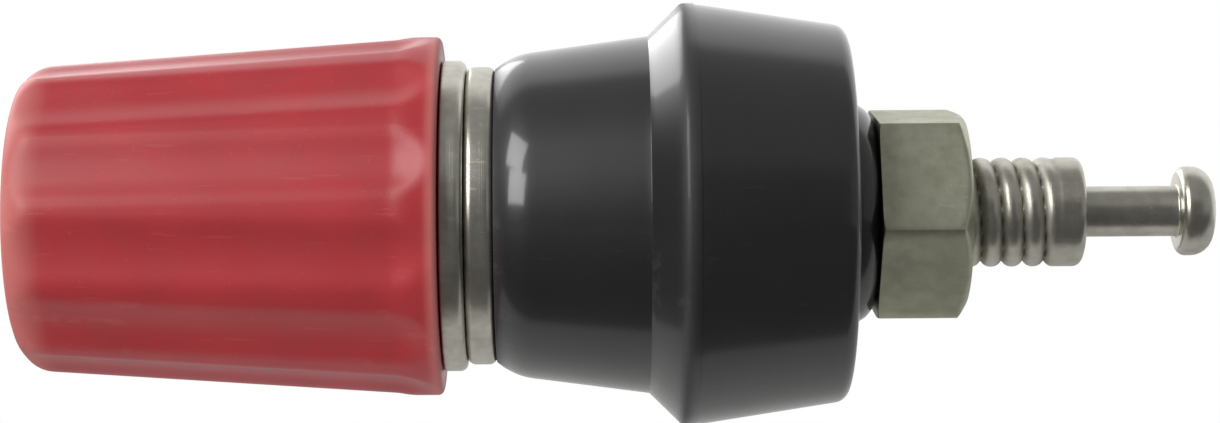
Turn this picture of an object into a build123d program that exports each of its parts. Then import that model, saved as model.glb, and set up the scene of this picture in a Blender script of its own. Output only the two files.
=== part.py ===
from build123d import *
import math
import os

# Panel binding post, in millimetres. The axis lies along X: the cap is at -X, the solder pin at +X.
# The origin is on the axis, in the panel plane where the front and rear insulators meet.

# Stations along the axis
CAP_FRONT = -23.9
CAP_BASE = -8.95
COLLAR_FRONT = -8.08
COLLAR_SEAT = -7.05
CONE_END = -1.65
BEVEL_END = -0.46
REAR_END = 5.4
BOSS_END = 6.4
STUD_END = 13.8
PIN_END = 17.25
HEAD_END = 18.5

# Red cap
CAP_FRONT_R = 5.37
CAP_LAND_R = 6.29
CAP_RIM_R = 6.375
CAP_RIM_WIDTH = 1.1
CAP_FLARE_LENGTH = 0.5
CAP_FLARE_ROUND = 1.0
CAP_FRONT_ROUND = 1.15
CAP_RIM_ROUND = 0.2
CAP_FRONT_WALL = 1.6
CAP_MOUTH_R = 2.3
CAP_MOUTH_ROUND = 0.5
CAP_CAVITY_R = 3.9
FLUTE_COUNT = 12
FLUTE_R = 2.0
FLUTE_DEPTH = 0.28
FLUTE_START = 12.5
FLUTE_STOP = 0.5

# Threads are plain cylinders at the screw's major diameter, with this gap in the mating bore
POST_THREAD_R = 3.5
STUD_R = 1.95
THREAD_GAP = 0.05

# Threaded insert, knurled into the cap, with a neck rolled out to hold the clamping ring
INSERT_R = 4.7
INSERT_LENGTH = 6.3
NECK_R = 4.2
LIP_R = 4.45
LIP_THICKNESS = 0.24
KNURL_COUNT = 24
KNURL_DEPTH = 0.2
KNURL_MARGIN = 0.7

# Clamping ring, loose on that neck
RING_R = 5.53
RING_ROUND = 0.28
RING_GAP = 0.05

# Stem: plug socket, wire hole, collar, keyed shank, stud and solder pin in one turned piece
STEM_FRONT_GAP = 0.35
STOP_LIP_R = 3.72
STOP_LIP_THICKNESS = 0.6
SOCKET_R = 2.025
PLUG_LENGTH = 19.0
DRILL_POINT_ANGLE = 118.0
WIRE_HOLE_R = 1.1
WIRE_HOLE_FLOOR = 0.15
COLLAR_R = 5.3
COLLAR_ROUND = 0.28
SHANK_FLATS = 6.2
SHANK_END = -2.6
STUD_CHAMFER = 0.3
PIN_R = 0.9
HEAD_R = 1.59
HEAD_ROUND = 0.75
HEAD_BACK_ROUND = 0.3

# Front insulator
CONE_FRONT_R = 5.64
CONE_REAR_R = 6.36
CONE_ROUND = 0.9
CORNER_ROUND = 0.3
FLANGE_R = 7.53
FLANGE_ROUND = 0.4
SPIGOT_R = 4.0
SPIGOT_LENGTH = 3.4
SPIGOT_FLAT = 3.5
SPIGOT_CHAMFER = 0.3
STUD_BORE_R = 2.1

# Rear insulator
REAR_FRONT_R = 7.5
REAR_BACK_R = 6.68
REAR_ROUND = 0.5
REAR_FRONT_ROUND = 0.1
BOSS_R = 3.95
BOSS_ROUND = 0.95
RECESS_GAP = 0.08
RECESS_DEPTH = 3.6

# Nut
NUT_FLATS = 7.0
NUT_THICKNESS = 3.2
NUT_TURN = 8.5
NUT_CHAMFER_ANGLE = 30.0
NUT_FACE_R = 3.35
NUT_BORE_CHAMFER = 0.25

os.makedirs("parts", exist_ok=True)


def ring_edges(builder, radius, x):
    """The circular edges of a part that have this radius and lie at this station."""
    circles = builder.edges().filter_by(GeomType.CIRCLE)
    return circles.filter_by(
        lambda e: math.isclose(e.radius, radius, abs_tol=1e-6)
        and math.isclose(e.arc_center.X, x, abs_tol=1e-6)
    )


def half_section(*points):
    """The half-section of a turned part, from its (station, radius) corners."""
    with BuildSketch(Plane.XY) as section:
        with BuildLine():
            Polyline(*points, close=True)
        make_face()
    return section.sketch


# Red cap: a tapered moulding that flares into its rim, with concave flutes that stop just short of the base
rim_front = CAP_BASE - CAP_RIM_WIDTH
cavity_front = CAP_FRONT + CAP_FRONT_WALL
insert_front = CAP_BASE - INSERT_LENGTH
land_end = rim_front - CAP_FLARE_LENGTH
land_slope = (CAP_LAND_R - CAP_FRONT_R) / (land_end - CAP_FRONT)
taper = math.atan(land_slope)
rim_depth = FLUTE_DEPTH + CAP_RIM_R - CAP_LAND_R
flute_end = CAP_BASE - FLUTE_STOP - math.sqrt(FLUTE_R**2 - (FLUTE_R - rim_depth) ** 2)
flute_land_r = CAP_FRONT_R + (flute_end - CAP_FRONT) * land_slope
flute_axis_r = flute_land_r + (FLUTE_R - FLUTE_DEPTH) / math.cos(taper)

with BuildPart(Plane.YZ) as cap:
    section = half_section(
        (CAP_FRONT, CAP_MOUTH_R),
        (CAP_FRONT, CAP_FRONT_R),
        (land_end, CAP_LAND_R),
        (rim_front, CAP_RIM_R),
        (CAP_BASE, CAP_RIM_R),
        (CAP_BASE, INSERT_R),
        (insert_front, INSERT_R),
        (insert_front, CAP_CAVITY_R),
        (cavity_front, CAP_CAVITY_R),
        (cavity_front, CAP_MOUTH_R),
    )
    revolve(section, axis=Axis.X)
    fillet(ring_edges(cap, CAP_FRONT_R, CAP_FRONT), CAP_FRONT_ROUND)
    fillet(ring_edges(cap, CAP_RIM_R, rim_front), CAP_FLARE_ROUND)
    fillet(ring_edges(cap, CAP_RIM_R, CAP_BASE), CAP_RIM_ROUND)
    fillet(ring_edges(cap, CAP_MOUTH_R, CAP_FRONT), CAP_MOUTH_ROUND)
    with Locations((0, 0, flute_end)):
        with PolarLocations(flute_axis_r, FLUTE_COUNT, start_angle=FLUTE_START):
            Cylinder(
                FLUTE_R,
                2 * (flute_end - CAP_FRONT),
                rotation=(0, math.degrees(taper), 0),
                align=(Align.CENTER, Align.CENTER, Align.MAX),
                mode=Mode.SUBTRACT,
            )
            Sphere(FLUTE_R, mode=Mode.SUBTRACT)

cap.part.label = "cap"
export_step(cap.part, "parts/cap.step")

# Threaded insert: knurled outside, bored for the post's thread, its neck rolled over inside the clamping ring
ring_front = CAP_BASE + RING_GAP
lip_back = COLLAR_FRONT - RING_GAP
lip_front = lip_back - LIP_THICKNESS
insert_bore_r = POST_THREAD_R + THREAD_GAP

with BuildPart(Plane.YZ) as cap_insert:
    section = half_section(
        (insert_front, insert_bore_r),
        (insert_front, INSERT_R),
        (CAP_BASE, INSERT_R),
        (CAP_BASE, NECK_R),
        (lip_front, NECK_R),
        (lip_front, LIP_R),
        (lip_back, LIP_R),
        (lip_back, insert_bore_r),
    )
    revolve(section, axis=Axis.X)
    knurl_length = INSERT_LENGTH - 2 * KNURL_MARGIN
    with Locations((0, 0, insert_front + KNURL_MARGIN)):
        with PolarLocations(INSERT_R, KNURL_COUNT):
            Box(
                KNURL_DEPTH * math.sqrt(2),
                KNURL_DEPTH * math.sqrt(2),
                knurl_length,
                rotation=(0, 0, 45),
                align=(Align.CENTER, Align.CENTER, Align.MIN),
                mode=Mode.SUBTRACT,
            )

cap_insert.part.label = "cap_insert"
export_step(cap_insert.part, "parts/cap_insert.step")

# Clamping ring: presses the wire on the collar, and stays still while the cap turns on it
with BuildPart(Plane.YZ) as clamp_ring:
    section = half_section(
        (ring_front, NECK_R + RING_GAP),
        (ring_front, RING_R),
        (COLLAR_FRONT, RING_R),
        (COLLAR_FRONT, LIP_R + RING_GAP),
        (lip_front - RING_GAP, LIP_R + RING_GAP),
        (lip_front - RING_GAP, NECK_R + RING_GAP),
    )
    revolve(section, axis=Axis.X)
    fillet(
        ring_edges(clamp_ring, RING_R, ring_front) + ring_edges(clamp_ring, RING_R, COLLAR_FRONT),
        RING_ROUND,
    )

clamp_ring.part.label = "clamp_ring"
export_step(clamp_ring.part, "parts/clamp_ring.step")

# Stem: turned from one bar, with the plug socket drilled from the front and the wire hole across it
stem_front = cavity_front + STEM_FRONT_GAP
lip_end = stem_front + STOP_LIP_THICKNESS
socket_end = CAP_FRONT + PLUG_LENGTH
drill_point = SOCKET_R / math.tan(math.radians(DRILL_POINT_ANGLE / 2))
wire_hole_x = COLLAR_FRONT - WIRE_HOLE_FLOOR - WIRE_HOLE_R

with BuildPart(Plane.YZ) as stem:
    section = half_section(
        (stem_front, SOCKET_R),
        (stem_front, STOP_LIP_R),
        (lip_end, STOP_LIP_R),
        (lip_end, POST_THREAD_R),
        (COLLAR_FRONT, POST_THREAD_R),
        (COLLAR_FRONT, COLLAR_R),
        (COLLAR_SEAT, COLLAR_R),
        (COLLAR_SEAT, POST_THREAD_R),
        (SHANK_END, POST_THREAD_R),
        (SHANK_END, STUD_R),
        (STUD_END, STUD_R),
        (STUD_END, PIN_R),
        (PIN_END, PIN_R),
        (PIN_END, HEAD_R),
        (HEAD_END, HEAD_R),
        (HEAD_END, 0),
        (socket_end + drill_point, 0),
        (socket_end, SOCKET_R),
    )
    revolve(section, axis=Axis.X)
    chamfer(ring_edges(stem, SOCKET_R, stem_front), STUD_CHAMFER)
    fillet(ring_edges(stem, STOP_LIP_R, stem_front), STUD_CHAMFER)
    fillet(ring_edges(stem, COLLAR_R, COLLAR_FRONT), COLLAR_ROUND)
    fillet(ring_edges(stem, COLLAR_R, COLLAR_SEAT), COLLAR_ROUND)
    chamfer(ring_edges(stem, STUD_R, STUD_END), STUD_CHAMFER)
    fillet(ring_edges(stem, HEAD_R, PIN_END), HEAD_BACK_ROUND)
    fillet(ring_edges(stem, HEAD_R, HEAD_END), HEAD_ROUND)
    with Locations((0, 0, wire_hole_x)):
        Cylinder(WIRE_HOLE_R, 3 * POST_THREAD_R, rotation=(90, 0, 0), mode=Mode.SUBTRACT)
    with Locations((0, 0, COLLAR_SEAT)):
        with PolarLocations(SHANK_FLATS / 2, 2):
            Box(
                POST_THREAD_R,
                3 * POST_THREAD_R,
                SHANK_END - COLLAR_SEAT,
                align=(Align.MIN, Align.CENTER, Align.MIN),
                mode=Mode.SUBTRACT,
            )

stem.part.label = "stem"
export_step(stem.part, "parts/stem.step")

# Front insulator: a cone that flares into the panel flange, with a flatted spigot that fills the panel hole
with BuildPart(Plane.YZ) as front_insulator:
    section = half_section(
        (COLLAR_SEAT, STUD_BORE_R),
        (COLLAR_SEAT, CONE_FRONT_R),
        (CONE_END, CONE_REAR_R),
        (BEVEL_END, FLANGE_R),
        (0, FLANGE_R),
        (0, SPIGOT_R),
        (SPIGOT_LENGTH, SPIGOT_R),
        (SPIGOT_LENGTH, STUD_BORE_R),
    )
    revolve(section, axis=Axis.X)
    fillet(ring_edges(front_insulator, CONE_FRONT_R, COLLAR_SEAT), CONE_ROUND)
    fillet(ring_edges(front_insulator, CONE_REAR_R, CONE_END), CORNER_ROUND)
    fillet(ring_edges(front_insulator, FLANGE_R, BEVEL_END), FLANGE_ROUND)
    chamfer(ring_edges(front_insulator, SPIGOT_R, SPIGOT_LENGTH), SPIGOT_CHAMFER)
    with BuildSketch(Plane.YZ.offset(COLLAR_SEAT)):
        Circle(POST_THREAD_R)
        Rectangle(SHANK_FLATS, 3 * POST_THREAD_R, mode=Mode.INTERSECT)
    extrude(amount=SHANK_END - COLLAR_SEAT, mode=Mode.SUBTRACT)
    with Locations((0, -SPIGOT_FLAT, 0)):
        Box(
            3 * SPIGOT_R,
            SPIGOT_R,
            SPIGOT_LENGTH,
            align=(Align.CENTER, Align.MAX, Align.MIN),
            mode=Mode.SUBTRACT,
        )

front_insulator.part.label = "front_insulator"
export_step(front_insulator.part, "parts/front_insulator.step")

# Rear insulator: a tapered cup over the spigot, keyed by its flat, with a rounded boss under the nut
with BuildPart(Plane.YZ) as rear_insulator:
    section = half_section(
        (0, STUD_BORE_R),
        (0, REAR_FRONT_R),
        (REAR_END, REAR_BACK_R),
        (REAR_END, BOSS_R),
        (BOSS_END, BOSS_R),
        (BOSS_END, STUD_BORE_R),
    )
    revolve(section, axis=Axis.X)
    fillet(ring_edges(rear_insulator, REAR_FRONT_R, 0), REAR_FRONT_ROUND)
    fillet(ring_edges(rear_insulator, REAR_BACK_R, REAR_END), REAR_ROUND)
    fillet(ring_edges(rear_insulator, BOSS_R, BOSS_END), BOSS_ROUND)
    with BuildSketch(Plane.YZ):
        Circle(SPIGOT_R + RECESS_GAP)
        with Locations((0, -SPIGOT_FLAT - RECESS_GAP)):
            Rectangle(3 * SPIGOT_R, 3 * SPIGOT_R, align=(Align.CENTER, Align.MIN), mode=Mode.INTERSECT)
    extrude(amount=RECESS_DEPTH, mode=Mode.SUBTRACT)

rear_insulator.part.label = "rear_insulator"
export_step(rear_insulator.part, "parts/rear_insulator.step")

# Hexagon nut, chamfered on both faces
nut_corner_r = NUT_FLATS / math.sqrt(3)
chamfer_depth = (nut_corner_r - NUT_FACE_R) * math.tan(math.radians(NUT_CHAMFER_ANGLE))
nut_bore_r = STUD_R + THREAD_GAP

with BuildPart(Plane.YZ) as hex_nut:
    section = half_section(
        (BOSS_END, nut_bore_r),
        (BOSS_END, NUT_FACE_R),
        (BOSS_END + chamfer_depth, nut_corner_r),
        (BOSS_END + NUT_THICKNESS - chamfer_depth, nut_corner_r),
        (BOSS_END + NUT_THICKNESS, NUT_FACE_R),
        (BOSS_END + NUT_THICKNESS, nut_bore_r),
    )
    revolve(section, axis=Axis.X)
    chamfer(
        ring_edges(hex_nut, nut_bore_r, BOSS_END)
        + ring_edges(hex_nut, nut_bore_r, BOSS_END + NUT_THICKNESS),
        NUT_BORE_CHAMFER,
    )
    with BuildSketch(Plane.YZ.offset(BOSS_END)):
        RegularPolygon(nut_corner_r, 6, rotation=NUT_TURN)
    extrude(amount=NUT_THICKNESS, mode=Mode.INTERSECT)

hex_nut.part.label = "hex_nut"
export_step(hex_nut.part, "parts/hex_nut.step")
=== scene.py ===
"""Insulated panel binding post: fluted red screw cap, plated stem, black insulators and a hexagon nut.

Every turned piece starts as a lathed blank round the X axis. Geometry Nodes trees then cut what repeats or
follows the screw: the cap's flutes, the two threads, the flats and the wire hole. Lengths are in millimetres
until a mesh is made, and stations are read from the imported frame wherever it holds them.
"""

import logging
import math
from collections.abc import Mapping, Sequence
from dataclasses import dataclass
from enum import Enum
from functools import cache

import bmesh
import bpy
from bpy.types import Material, Node, NodeSocket, NodeTree, Object
from mathutils import Euler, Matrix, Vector


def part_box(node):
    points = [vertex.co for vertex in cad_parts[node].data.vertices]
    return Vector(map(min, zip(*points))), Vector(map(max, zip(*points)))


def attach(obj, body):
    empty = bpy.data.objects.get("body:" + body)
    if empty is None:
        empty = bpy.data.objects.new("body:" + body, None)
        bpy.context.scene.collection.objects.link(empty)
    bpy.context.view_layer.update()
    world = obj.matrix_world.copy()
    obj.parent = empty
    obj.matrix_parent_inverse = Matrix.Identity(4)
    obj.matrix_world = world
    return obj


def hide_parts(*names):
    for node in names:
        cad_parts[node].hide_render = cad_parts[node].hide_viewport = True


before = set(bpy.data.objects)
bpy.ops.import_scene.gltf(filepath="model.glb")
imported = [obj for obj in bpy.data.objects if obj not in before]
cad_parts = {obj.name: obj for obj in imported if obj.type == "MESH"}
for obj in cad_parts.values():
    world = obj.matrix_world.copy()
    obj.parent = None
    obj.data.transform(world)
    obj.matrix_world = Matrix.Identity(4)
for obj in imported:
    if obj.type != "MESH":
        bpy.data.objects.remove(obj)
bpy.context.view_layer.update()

log = logging.getLogger("binding_post")

MM = 0.001
MM_PER_METRE = 1000.0
FULL_TURN = math.tau
ARC_STEP = math.radians(15)
FEWEST_ARC_PIECES = 3
SMOOTH_BELOW = math.radians(32)
CUT_ATTRIBUTE = "cut"
# The attribute for rubbed corners, whose lighter colour is handling wear and a painted highlight.
RUB_AND_SHEEN_ATTRIBUTE = "rub_and_sheen"

# How far a cut reaches past its ends, so that the vertices on them belong to it.
CUT_MARGIN = 0.01
KEY_ANGLE = math.radians(-90)
# What stands in for a radius of nothing in a division.
LEAST_RADIUS = 0.001 * MM
LEAST_COSINE = 0.05
# How far a thread's crest may lie from its radius, and how full its round is.
CREST_MARGIN = 0.03 * MM
CREST_FULLNESS = 0.98
DRILL_SIDES = 64
DRILL_LENGTH_IN_BAR_RADII = 3.0
# The tree inputs that aren't lengths.
UNITLESS = ("Flutes", "Flats", "First Angle", "Slope")
# The places of the colour sockets on a Mix node, which has others of the same names.
MIX_COLOUR_INPUTS = (0, 6, 7)
MIX_COLOUR_OUTPUT = 2

Colour = tuple[float, float, float, float]
Feed = NodeSocket | float | int | str | Sequence[float]
Feeds = Mapping[str | int, Feed]


class Slot(Enum):
    """Material slots of the record."""

    RED_PLASTIC = "red_plastic"
    BLACK_PLASTIC = "black_plastic"
    NICKEL = "nickel"
    NUT_NICKEL = "nut_nickel"


class Body(Enum):
    """Bodies that move on their own."""

    POST = "post"
    RING = "ring"
    CAP = "cap"
    REAR = "rear"
    NUT = "nut"


class TreeKind(Enum):
    """What a node tree makes."""

    SHAPE = "GeometryNodeTree"
    SHADE = "ShaderNodeTree"


class Kind(Enum):
    """What a node tree's socket carries."""

    NUMBER = "NodeSocketFloat"
    PLACE = "NodeSocketVector"
    SHAPE = "NodeSocketGeometry"
    FINISH = "NodeSocketMaterial"


def paint(red: int, green: int, blue: int) -> Colour:
    """A colour as it is given, turned into the linear values that shaders take.

    Args:
        red: Red, 0 to 255.
        green: Green, 0 to 255.
        blue: Blue, 0 to 255.

    Returns:
        Linear red, green and blue, and full alpha.
    """

    def linear(level: int) -> float:
        """One channel without the display curve of sRGB."""
        share = level / 255
        return share / 12.92 if share <= 0.04045 else ((share + 0.055) / 1.055) ** 2.4

    return (linear(red), linear(green), linear(blue), 1.0)


class Graph:
    """A node tree with short calls to add and feed its nodes."""

    def __init__(self, tree: NodeTree) -> None:
        """Wraps a tree that exists."""
        self.tree = tree

    @classmethod
    def group(
        cls, kind: TreeKind, name: str, takes: Mapping[str, Kind], gives: Mapping[str, Kind]
    ) -> "Graph":
        """Starts a node group with named sockets.

        Args:
            kind: Whether it makes shapes or shades.
            name: The group's name.
            takes: Its inputs and what they carry.
            gives: Its outputs and what they carry.

        Returns:
            The graph, with its input and output nodes in place.
        """
        tree = bpy.data.node_groups.new(name, kind.value)
        for in_out, sockets in (("INPUT", takes), ("OUTPUT", gives)):
            for label, carries in sockets.items():
                tree.interface.new_socket(label, in_out=in_out, socket_type=carries.value)
        graph = cls(tree)
        graph.start = graph.node("NodeGroupInput")
        graph.end = graph.node("NodeGroupOutput")
        return graph

    @classmethod
    def effect(cls, name: str, gives: str, *sizes: str) -> "Graph":
        """Starts a shading group for an effect that is laid over a part.

        Args:
            name: The group's name.
            gives: The one value that it gives.
            sizes: The numbers that it takes, besides a place.

        Returns:
            The graph, with its input and output nodes in place.
        """
        takes = {"Place": Kind.PLACE, **dict.fromkeys(sizes, Kind.NUMBER)}
        return cls.group(TreeKind.SHADE, name, takes, {gives: Kind.NUMBER})

    def node(self, kind: str, feeds: Feeds | None = None, **settings: object) -> Node:
        """Adds a node.

        Args:
            kind: The node's type name.
            feeds: What goes into its inputs, by name or place.
            settings: Its properties.

        Returns:
            The node.
        """
        made = self.tree.nodes.new(kind)
        for name, value in settings.items():
            setattr(made, name, value)
        for key, value in (feeds or {}).items():
            self.feed(made.inputs[key], value)
        return made

    def feed(self, socket: NodeSocket, value: Feed) -> None:
        """Links a socket to another, or sets its value.

        Args:
            socket: The socket that is fed.
            value: The other socket, or the value.
        """
        if isinstance(value, NodeSocket):
            self.tree.links.new(value, socket)
        else:
            socket.default_value = value

    def taken(self, name: str) -> NodeSocket:
        """One of the group's own inputs."""
        return self.start.outputs[name]

    def give(self, name: str, value: Feed) -> None:
        """Feeds one of the group's own outputs."""
        self.feed(self.end.inputs[name], value)

    def math(self, operation: str, *terms: Feed) -> NodeSocket:
        """Adds a Math node and gives its result."""
        return self.node("ShaderNodeMath", dict(enumerate(terms)), operation=operation).outputs[0]

    def ramp(
        self, value: Feed, low: Feed, high: Feed, to_low: Feed = 0.0, to_high: Feed = 1.0, soft: bool = False
    ) -> NodeSocket:
        """Maps one range of a value to another, held at its ends.

        Args:
            value: What is mapped.
            low: Where the range starts.
            high: Where it ends.
            to_low: The result at its start.
            to_high: The result at its end.
            soft: Whether it eases in and out.

        Returns:
            The mapped value.
        """
        terms = dict(enumerate((value, low, high, to_low, to_high)))
        curve = "SMOOTHSTEP" if soft else "LINEAR"
        return self.node("ShaderNodeMapRange", terms, interpolation_type=curve).outputs[0]

    def blend(self, share: Feed, first: Feed, second: Feed) -> NodeSocket:
        """Mixes two colours.

        Args:
            share: How much there is of the second, from 0 to 1.
            first: The first colour.
            second: The second colour.

        Returns:
            The mixed colour.
        """
        colours = dict(zip(MIX_COLOUR_INPUTS, (share, first, second)))
        return self.node("ShaderNodeMix", colours, data_type="RGBA").outputs[MIX_COLOUR_OUTPUT]

    def over_size(self) -> NodeSocket:
        """The scale of a texture whose features are as large as the group's own size input."""
        return self.math("DIVIDE", 1.0, self.taken("Size"))

    def place(self, tree: NodeTree, feeds: Feeds | None = None) -> Node:
        """Adds a group node that stands for another tree."""
        is_shape = self.tree.bl_idname == TreeKind.SHAPE.value
        return self.node("GeometryNodeGroup" if is_shape else "ShaderNodeGroup", feeds, node_tree=tree)


@dataclass(frozen=True)
class Corner:
    """A corner of a turned profile, in millimetres.

    It has its place, its round, how fine the run after it is, and how far round its tip handling wear and a
    painted highlight reach.
    """

    x: float
    r: float
    round: float = 0.0
    step: float = 4.0
    rub_and_sheen: float = 0.0

    @property
    def place(self) -> Vector:
        """The corner as a point of the half-section."""
        return Vector((self.x, self.r))


@dataclass(frozen=True)
class Profile:
    """The half-section of a turned piece. An open one starts and ends on the axis."""

    corners: tuple[Corner, ...]
    closed: bool = True

    def arc(self, index: int) -> list[Vector]:
        """The points that stand for one corner: its round as an arc, or the corner itself.

        Args:
            index: Which corner.

        Returns:
            The points, in the profile's order.
        """
        corner = self.corners[index]
        if corner.round == 0.0:
            return [corner.place]
        before = self.corners[index - 1].place - corner.place
        after = self.corners[(index + 1) % len(self.corners)].place - corner.place
        opening = before.angle(after)
        reach = corner.round / math.tan(opening / 2)
        start = corner.place + before.normalized() * reach
        end = corner.place + after.normalized() * reach
        middle = (before.normalized() + after.normalized()).normalized()
        centre = corner.place + middle * (corner.round / math.sin(opening / 2))
        first, last = start - centre, end - centre
        turn = first.angle(last)
        by_turn, by_length = math.ceil(turn / ARC_STEP), math.ceil(turn * corner.round / corner.step)
        steps = max(FEWEST_ARC_PIECES, by_turn, by_length)
        return [
            centre
            + (first * math.sin(turn * (1 - k / steps)) + last * math.sin(turn * k / steps)) / math.sin(turn)
            for k in range(steps + 1)
        ]

    def points(self) -> list[Vector]:
        """The whole half-section, with its runs divided as finely as their corners ask.

        Returns:
            The points, in the profile's order.
        """
        arcs = [self.arc(k) for k in range(len(self.corners))]
        made: list[Vector] = []
        for k, arc in enumerate(arcs):
            made += arc
            if k + 1 == len(arcs) and not self.closed:
                break
            start, end = arc[-1], arcs[(k + 1) % len(arcs)][0]
            pieces = max(1, math.ceil((end - start).length / self.corners[k].step))
            made += [start.lerp(end, j / pieces) for j in range(1, pieces)]
        return made

    def rub_and_sheen_share(self, point: Vector) -> float:
        """How much handling wear and painted highlight a point takes, from 0 to 1, by its distance from the
        tips of the rubbed corners.
        """
        shares = [1 - (point - corner.place).length / corner.rub_and_sheen for corner in self.corners if corner.rub_and_sheen]
        return max([0.0, *shares])


def even_angles(count: int) -> list[float]:
    """Angles of a blank's segments, evenly spaced."""
    return [FULL_TURN * k / count for k in range(count)]


def bunched_angles(count: int, corners: int, first: float, pull: float = 0.8) -> list[float]:
    """Angles of a blank's segments, closer together at its corners.

    Args:
        count: How many segments.
        corners: How many corners the piece has.
        first: The angle of one corner.
        pull: How much closer, from 0 for even to under 1.

    Returns:
        The angles, in radians.
    """
    angles = [first + angle for angle in even_angles(count)]
    return [angle - pull / corners * math.sin(corners * (angle - first)) for angle in angles]


def lathe(name: str, profile: Profile, angles: Sequence[float]) -> Object:
    """Turns a half-section round the X axis into a closed blank.

    Args:
        name: The piece's name.
        profile: Its half-section.
        angles: The angles of its segments.

    Returns:
        The blank, in the scene, at the origin.
    """
    mesh = bmesh.new()
    rings: list[list[bmesh.types.BMVert]] = []
    rub_and_sheen_shares: list[float] = []
    for point in profile.points():
        x, r = point * MM
        spread = angles if r > 0 else angles[:1]
        rub_and_sheen_shares += [profile.rub_and_sheen_share(point)] * len(spread)
        rings.append([mesh.verts.new((x, r * math.cos(a), r * math.sin(a))) for a in spread])
    count = len(angles)
    pairs = list(zip(rings, rings[1:]))
    if profile.closed:
        pairs.append((rings[-1], rings[0]))
    for one, other in pairs:
        for k in range(count):
            following = (k + 1) % count
            if len(one) == 1:
                face = (one[0], other[k], other[following])
            elif len(other) == 1:
                face = (one[k], other[0], one[following])
            else:
                face = (one[k], other[k], other[following], one[following])
            mesh.faces.new(face)
    bmesh.ops.recalc_face_normals(mesh, faces=mesh.faces)
    data = bpy.data.meshes.new(name)
    mesh.to_mesh(data)
    mesh.free()
    data.attributes.new(RUB_AND_SHEEN_ATTRIBUTE, "FLOAT", "POINT").data.foreach_set("value", rub_and_sheen_shares)
    piece = bpy.data.objects.new(name, data)
    bpy.context.scene.collection.objects.link(piece)
    return piece


@cache
def polar_place() -> NodeTree:
    """A group for a vertex's place round the axis.

    Returns:
        The group, which gives the station along X, the radius and the angle.
    """
    gives = dict.fromkeys(("Station", "Radius", "Angle"), Kind.NUMBER)
    graph = Graph.group(TreeKind.SHAPE, "polar_place", {}, gives)
    position = graph.node("GeometryNodeInputPosition").outputs[0]
    x, y, z = graph.node("ShaderNodeSeparateXYZ", {0: position}).outputs
    squares = graph.math("ADD", graph.math("MULTIPLY", y, y), graph.math("MULTIPLY", z, z))
    graph.give("Station", x)
    graph.give("Radius", graph.math("SQRT", squares))
    graph.give("Angle", graph.math("ARCTAN2", z, y))
    return graph.tree


class CutTree(Graph):
    """A Geometry Nodes tree that moves a blank's vertices in towards the axis."""

    @classmethod
    def begin(cls, name: str, *sizes: str) -> "CutTree":
        """Starts a tree whose inputs are a shape, named sizes and a finish.

        Args:
            name: The tree's name.
            sizes: Its size inputs.

        Returns:
            The tree, with the vertex's polar place ready.
        """
        takes = {"Blank": Kind.SHAPE, **dict.fromkeys(sizes, Kind.NUMBER), "Finish": Kind.FINISH}
        tree = cls.group(TreeKind.SHAPE, name, takes, {"Piece": Kind.SHAPE})
        tree.tree.is_modifier = True
        tree.station, tree.radius, tree.angle = tree.place(polar_place()).outputs
        return tree

    def from_nearest(self, count: Feed, first: Feed) -> NodeSocket:
        """The angle from the nearest of several directions, evenly spaced round the axis."""
        half, offset = self.math("DIVIDE", math.pi, count), self.math("SUBTRACT", self.angle, first)
        return self.math("WRAP", offset, half, self.math("MULTIPLY", half, -1.0))

    def finish(self, new_radius: NodeSocket, depth: Feed) -> NodeTree:
        """Moves the vertices, keeps how deep the cut is, and ends the tree.

        Args:
            new_radius: Each vertex's radius after the cut.
            depth: The cut that counts as full, for the attribute.

        Returns:
            The finished tree.
        """
        scale = self.math("DIVIDE", new_radius, self.math("MAXIMUM", self.radius, LEAST_RADIUS))
        position = self.node("GeometryNodeInputPosition").outputs[0]
        x, y, z = self.node("ShaderNodeSeparateXYZ", {0: position}).outputs
        pulled_in = (x, self.math("MULTIPLY", y, scale), self.math("MULTIPLY", z, scale))
        moved = self.node("ShaderNodeCombineXYZ", dict(enumerate(pulled_in))).outputs[0]
        earlier = self.node("GeometryNodeInputNamedAttribute", {"Name": CUT_ATTRIBUTE}, data_type="FLOAT")
        taken_off = self.math("DIVIDE", self.math("SUBTRACT", self.radius, new_radius), depth)
        share = self.math("MAXIMUM", earlier.outputs[0], self.math("MINIMUM", taken_off, 1.0))
        mark = {"Geometry": self.taken("Blank"), "Name": CUT_ATTRIBUTE, "Value": share}
        marked = self.node("GeometryNodeStoreNamedAttribute", mark, data_type="FLOAT", domain="POINT")
        shift = {"Geometry": marked.outputs[0], "Position": moved}
        return self.close(self.node("GeometryNodeSetPosition", shift).outputs[0])

    def close(self, shape: NodeSocket) -> NodeTree:
        """Realizes what the tree made, gives it its finish and ends the tree.

        Args:
            shape: What the tree made.

        Returns:
            The finished tree.
        """
        real = self.node("GeometryNodeRealizeInstances", {0: shape}).outputs[0]
        dressed = self.node("GeometryNodeSetMaterial", {"Geometry": real, "Material": self.taken("Finish")})
        self.give("Piece", dressed.outputs[0])
        return self.tree


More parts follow.
